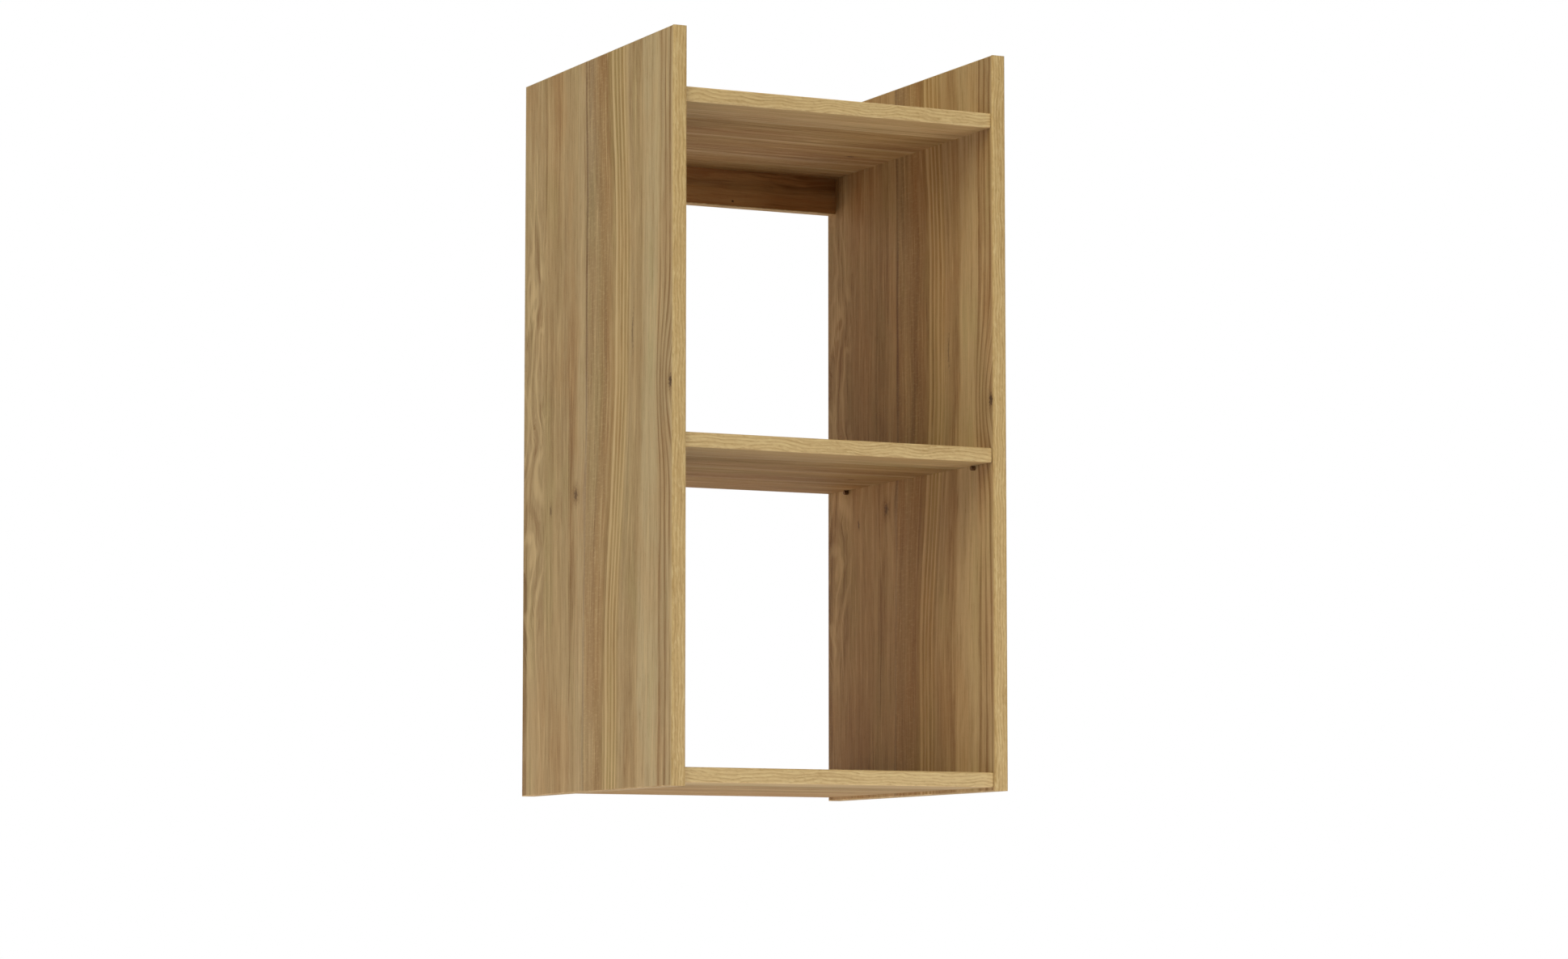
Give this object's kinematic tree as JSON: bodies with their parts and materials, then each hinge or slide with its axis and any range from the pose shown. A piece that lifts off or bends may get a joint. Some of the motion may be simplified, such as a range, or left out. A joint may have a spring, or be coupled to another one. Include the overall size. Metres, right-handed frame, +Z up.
{
  "type": "hanging wall cabinet",
  "caption": "Tall narrow open wall cabinet in oak-look board, with sides that rise above a set-down top panel, a loose shelf on pins, a hanging rail and adjustable wall hangers.",
  "frame": {"origin": "middle of the cabinet's footprint, level with the feet of the side panels", "axes": "+Z up, +Y towards the wall, +X to the right as seen from the front"},
  "size_m": [0.4, 0.4, 0.804],
  "materials": {
    "oak_board": "matt oak-pattern board",
    "front_edging": "matt oak-pattern edging, 2 mm",
    "thin_edging": "matt oak-pattern edging, 1 mm",
    "beech": "raw beech dowel",
    "zinc": "die-cast zinc, dull",
    "zinc_plated_steel": "bright zinc-plated",
    "galvanised_sheet": "galvanised sheet, satin",
    "bronzed_steel": "bronzed steel, rubbed",
    "cap_plastic": "tan moulded plastic, fine grain",
    "cover_plastic": "off-white moulded plastic, fine grain"
  },
  "bodies": {
    "cabinet": {"left_side": "oak_board", "right_side": "oak_board", "top_panel": "oak_board", "bottom_panel": "oak_board", "hanging_rail": "oak_board", "left_front_edging": "front_edging", "left_rear_edging": "thin_edging", "left_top_edging": "thin_edging", "left_foot_edging": "thin_edging", "right_front_edging": "front_edging", "right_rear_edging": "thin_edging", "right_top_edging": "thin_edging", "right_foot_edging": "thin_edging", "top_front_edging": "front_edging", "top_rear_edging": "thin_edging", "bottom_front_edging": "front_edging", "bottom_rear_edging": "thin_edging", "rail_edging": "thin_edging", "top_cams": "zinc", "bottom_cams": "zinc", "rail_cams": "zinc", "top_cam_bolts": "zinc_plated_steel", "bottom_cam_bolts": "zinc_plated_steel", "rail_cam_bolts": "zinc_plated_steel", "top_dowels": "beech", "bottom_dowels": "beech", "rail_dowels": "beech", "top_cam_caps": "cap_plastic", "bottom_cam_caps": "cap_plastic", "rail_cam_caps": "cap_plastic", "shelf_pins": "bronzed_steel", "left_hanger_channel": "galvanised_sheet", "left_hanger_cover": "cover_plastic", "left_hanger_screws": "zinc_plated_steel", "right_hanger_channel": "galvanised_sheet", "right_hanger_cover": "cover_plastic", "right_hanger_screws": "zinc_plated_steel"},
    "shelf": {"shelf": "oak_board", "shelf_front_edging": "front_edging", "shelf_rear_edging": "thin_edging"},
    "left_hook": {"left_hook": "zinc"},
    "right_hook": {"right_hook": "zinc"},
    "left_height_screw": {"left_height_screw": "zinc_plated_steel"},
    "right_height_screw": {"right_height_screw": "zinc_plated_steel"}
  },
  "joints": [
    {"name": "shelf_slide", "type": "slide", "parent": "cabinet", "child": "shelf", "axis": [0, -1, 0], "range_m": [0, 0.15]},
    {"name": "left_hook_height", "type": "slide", "parent": "cabinet", "child": "left_hook", "axis": [0, 0, 1], "range_m": [-0.007, 0.007]},
    {"name": "left_screw_turn", "type": "hinge", "parent": "cabinet", "child": "left_height_screw", "pos_m": [-0.176, 0.168, 0.774], "axis": [0, 0, 1], "range_deg": [-2525, 2525]},
    {"name": "right_hook_height", "type": "slide", "parent": "cabinet", "child": "right_hook", "axis": [0, 0, 1], "range_m": [-0.007, 0.007]},
    {"name": "right_screw_turn", "type": "hinge", "parent": "cabinet", "child": "right_height_screw", "pos_m": [0.176, 0.168, 0.774], "axis": [0, 0, 1], "range_deg": [-2525, 2525]}
  ],
  "couplings": [
    {"joint": "left_screw_turn", "follows": "left_hook_height", "rad_per_m": 6283.2},
    {"joint": "right_screw_turn", "follows": "right_hook_height", "rad_per_m": 6283.2}
  ]
}
